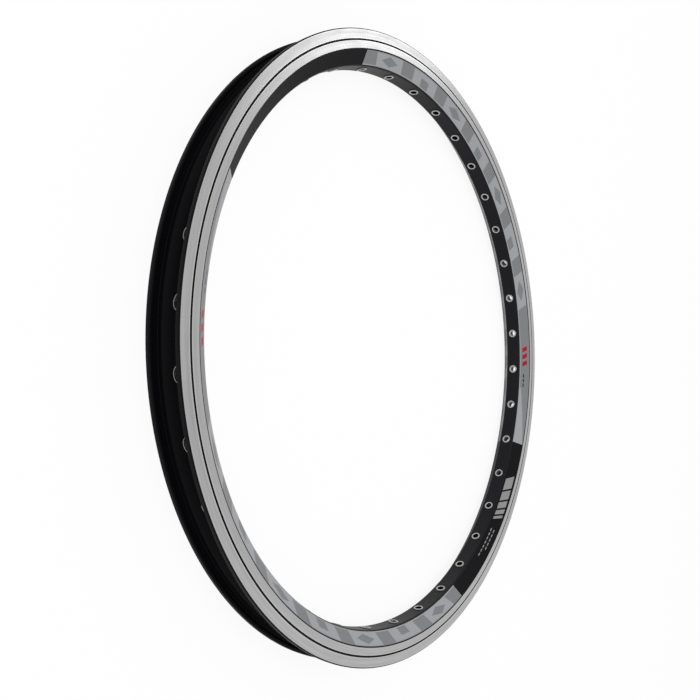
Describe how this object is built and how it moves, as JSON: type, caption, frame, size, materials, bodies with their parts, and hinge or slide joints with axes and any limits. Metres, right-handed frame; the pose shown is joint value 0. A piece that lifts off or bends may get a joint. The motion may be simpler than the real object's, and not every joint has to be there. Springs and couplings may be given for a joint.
{
  "type": "bicycle rim",
  "caption": "Hollow double-wall bicycle rim with hooked flanges, machined brake tracks with a wear groove, eyeleted spoke holes, a valve hole and two decals on each side.",
  "frame": {"origin": "on the rim's axis, in the plane of the lower brake track that the rim lies on", "axes": "+Z along the rim's axis, up; +X from the axis to the valve hole"},
  "size_m": [0.4179, 0.418, 0.025],
  "materials": {
    "black_anodised": "satin black anodised aluminium, machined bare on the brake tracks",
    "plated_steel": "bright plated",
    "grey_film": "two-tone grey printed film"
  },
  "bodies": {
    "root": {"rim_hoop": "black_anodised", "spoke_eyelets": "plated_steel", "side_decal_1": "grey_film", "side_decal_2": "grey_film", "side_decal_3": "grey_film", "side_decal_4": "grey_film"}
  },
  "joints": []
}
